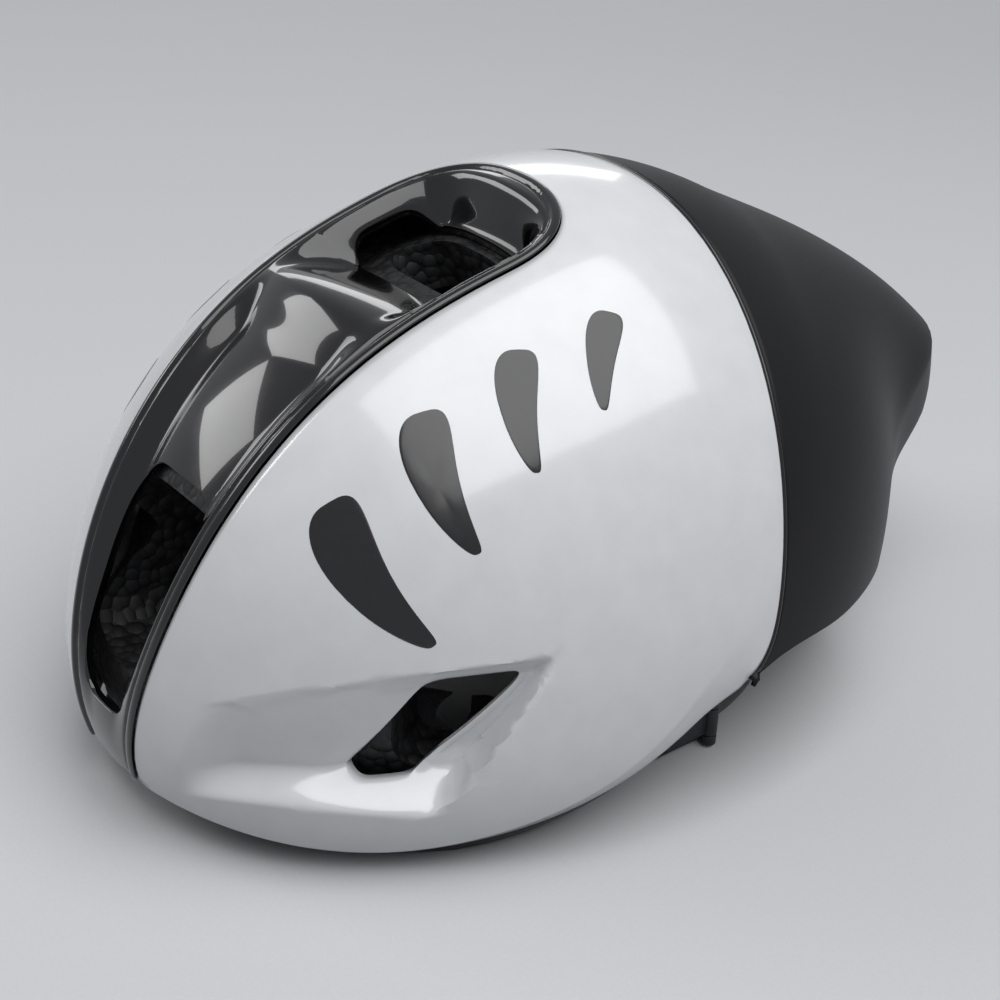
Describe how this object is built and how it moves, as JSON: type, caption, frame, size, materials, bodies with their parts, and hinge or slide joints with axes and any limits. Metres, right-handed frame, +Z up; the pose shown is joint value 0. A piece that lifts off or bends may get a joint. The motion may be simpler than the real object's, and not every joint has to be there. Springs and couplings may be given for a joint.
{
  "type": "aero road bike helmet",
  "caption": "Aero road bike helmet in gloss white and black with a ridged tail, a slotted centre channel, side vents, a dial fit system, straps and a magnetic buckle",
  "frame": {"origin": "on the table under the middle of the bounding box, with the helmet standing on its rim", "axes": "+X to the wearer's left, -Y forward, +Z up"},
  "size_m": [0.2062, 0.2918, 0.1584],
  "materials": {
    "gloss_white": "clear-coated white polycarbonate",
    "gloss_black": "clear-coated black polycarbonate",
    "matte_black": "matte black polycarbonate",
    "satin_black": "satin black polycarbonate",
    "foam_black": "moulded black expanded polystyrene beads",
    "pad_fabric": "brushed knit over foam",
    "webbing": "woven polyester webbing",
    "nylon": "fine-textured moulded nylon",
    "acetal": "natural acetal",
    "grip_rubber": "soft-touch rubber",
    "steel": "zinc-plated steel",
    "plated": "nickel-plated magnet"
  },
  "bodies": {
    "helmet": {"upper_shell": "gloss_white", "centre_spine": "gloss_black", "rear_shell": "matte_black", "seam_trim": "gloss_black", "rim_trim": "satin_black", "eps_front": "foam_black", "eps_side_left": "foam_black", "eps_side_right": "foam_black", "eps_rear_left": "foam_black", "eps_rear": "foam_black", "eps_rear_right": "foam_black", "eps_crown": "foam_black", "brow_pad": "pad_fabric", "crown_pad": "pad_fabric", "side_pad_left": "pad_fabric", "side_pad_right": "pad_fabric", "nape_pad": "pad_fabric", "hook_dots": "nylon", "hanger_rail": "nylon", "temple_anchor_left": "nylon", "temple_anchor_right": "nylon", "strap_anchors": "nylon", "front_strap_left": "webbing", "front_strap_right": "webbing", "rear_strap_left": "webbing", "rear_strap_right": "webbing", "divider_left": "nylon", "divider_right": "nylon", "lever_pins": "steel", "chin_strap_left": "webbing", "chin_strap_right": "webbing", "chin_pad": "pad_fabric", "strap_keeper": "grip_rubber", "buckle_socket": "nylon", "magnet_socket": "plated"},
    "cradle": {"cradle_yoke": "nylon", "cradle_pad": "pad_fabric", "gear_cover": "nylon", "cover_screws": "steel", "detent_ring": "nylon"},
    "dial": {"dial_knob": "grip_rubber", "dial_pinion": "acetal", "dial_screw": "steel"},
    "left_arm": {"arm_left": "nylon"},
    "right_arm": {"arm_right": "nylon"},
    "left_lever": {"lever_left": "nylon"},
    "right_lever": {"lever_right": "nylon"},
    "tongue": {"buckle_tongue": "nylon", "magnet_tongue": "plated"}
  },
  "joints": [
    {"name": "cradle_height", "type": "slide", "parent": "helmet", "child": "cradle", "axis": [0, 0, 1], "range_m": [0, 0.01]},
    {"name": "dial_turn", "type": "hinge", "parent": "cradle", "child": "dial", "pos_m": [0, 0.07325, 0.03], "axis": [0, 1, 0], "range_deg": [0, 76]},
    {"name": "arm_left_slide", "type": "slide", "parent": "cradle", "child": "left_arm", "axis": [-1, 0, 0], "range_m": [0, 0.008]},
    {"name": "arm_right_slide", "type": "slide", "parent": "cradle", "child": "right_arm", "axis": [1, 0, 0], "range_m": [0, 0.008]},
    {"name": "lever_left_turn", "type": "hinge", "parent": "helmet", "child": "left_lever", "pos_m": [0.0771, 0.01015, 0.009], "axis": [0, 0, 1], "range_deg": [0, 80]},
    {"name": "lever_right_turn", "type": "hinge", "parent": "helmet", "child": "right_lever", "pos_m": [-0.0771, 0.01015, 0.009], "axis": [0, 0, -1], "range_deg": [0, 80]},
    {"name": "buckle_slide", "type": "slide", "parent": "helmet", "child": "tongue", "axis": [-1, 0, 0], "range_m": [0, 0.011], "deforming": ["chin_strap_right"]}
  ],
  "couplings": [
    {"joint": "arm_left_slide", "follows": "dial_turn", "m_per_rad": 0.006},
    {"joint": "arm_right_slide", "follows": "dial_turn", "m_per_rad": 0.006}
  ]
}
